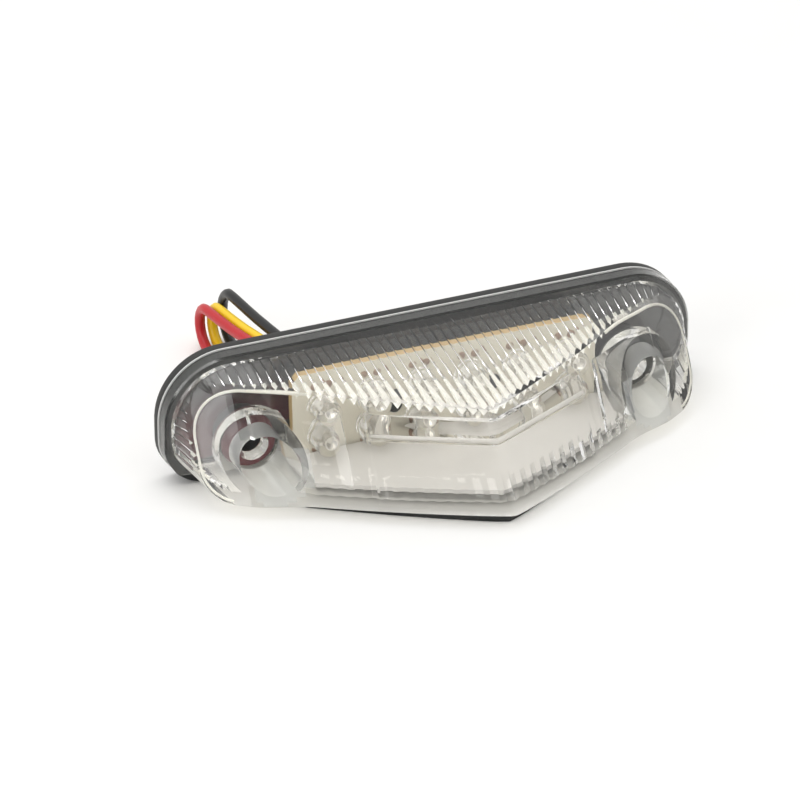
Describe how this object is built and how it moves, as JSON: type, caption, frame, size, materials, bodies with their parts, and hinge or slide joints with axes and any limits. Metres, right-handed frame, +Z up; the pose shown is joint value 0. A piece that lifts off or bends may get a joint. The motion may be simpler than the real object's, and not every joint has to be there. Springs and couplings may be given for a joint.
{
  "type": "motorcycle tail light",
  "caption": "Compact motorcycle tail light: clear V-front lens with ribbed walls, black back shell with gasket, LED board inside and three loose leads out of the back.",
  "frame": {"origin": "on the surface the light lies on, under the middle of the light without its leads", "axes": "+X along the light's length, -Y out of the lens, +Y out of the mounting face towards the vehicle, +Z up with the roof plate lying on the surface"},
  "size_m": [0.1, 0.0845, 0.0236],
  "materials": {
    "shell": "black ABS, fine satin",
    "rubber": "black, matt",
    "lens": "clear moulded, polished, ribbed inside the walls",
    "board": "cream white solder mask, tan bare edge",
    "led": "clear moulded epoxy",
    "reflector": "white, satin",
    "resistor": "black overglaze",
    "diode": "black moulded epoxy",
    "sleeve_red": "red PVC sleeve, satin gloss",
    "sleeve_yellow": "yellow PVC sleeve, satin gloss",
    "sleeve_black": "black PVC sleeve, satin gloss",
    "lead_coil": "mixed red, yellow and black PVC sleeves"
  },
  "bodies": {
    "root": {"base_housing": "shell", "mounting_gasket": "rubber", "lens": "lens", "circuit_board": "board", "led_lower_1": "led", "led_lower_2": "led", "led_lower_3": "led", "led_lower_4": "led", "led_lower_5": "led", "led_lower_6": "led", "led_upper_1": "led", "led_upper_2": "led", "led_upper_3": "led", "led_upper_4": "led", "led_upper_5": "led", "led_upper_6": "led", "reflector_plate": "reflector", "resistor_1": "resistor", "resistor_2": "resistor", "resistor_3": "resistor", "diode_tail": "diode", "diode_brake": "diode", "lead_seal": "rubber", "lead_red": "sleeve_red", "lead_yellow": "sleeve_yellow", "lead_black": "sleeve_black", "lead_coil": "lead_coil"}
  },
  "joints": []
}
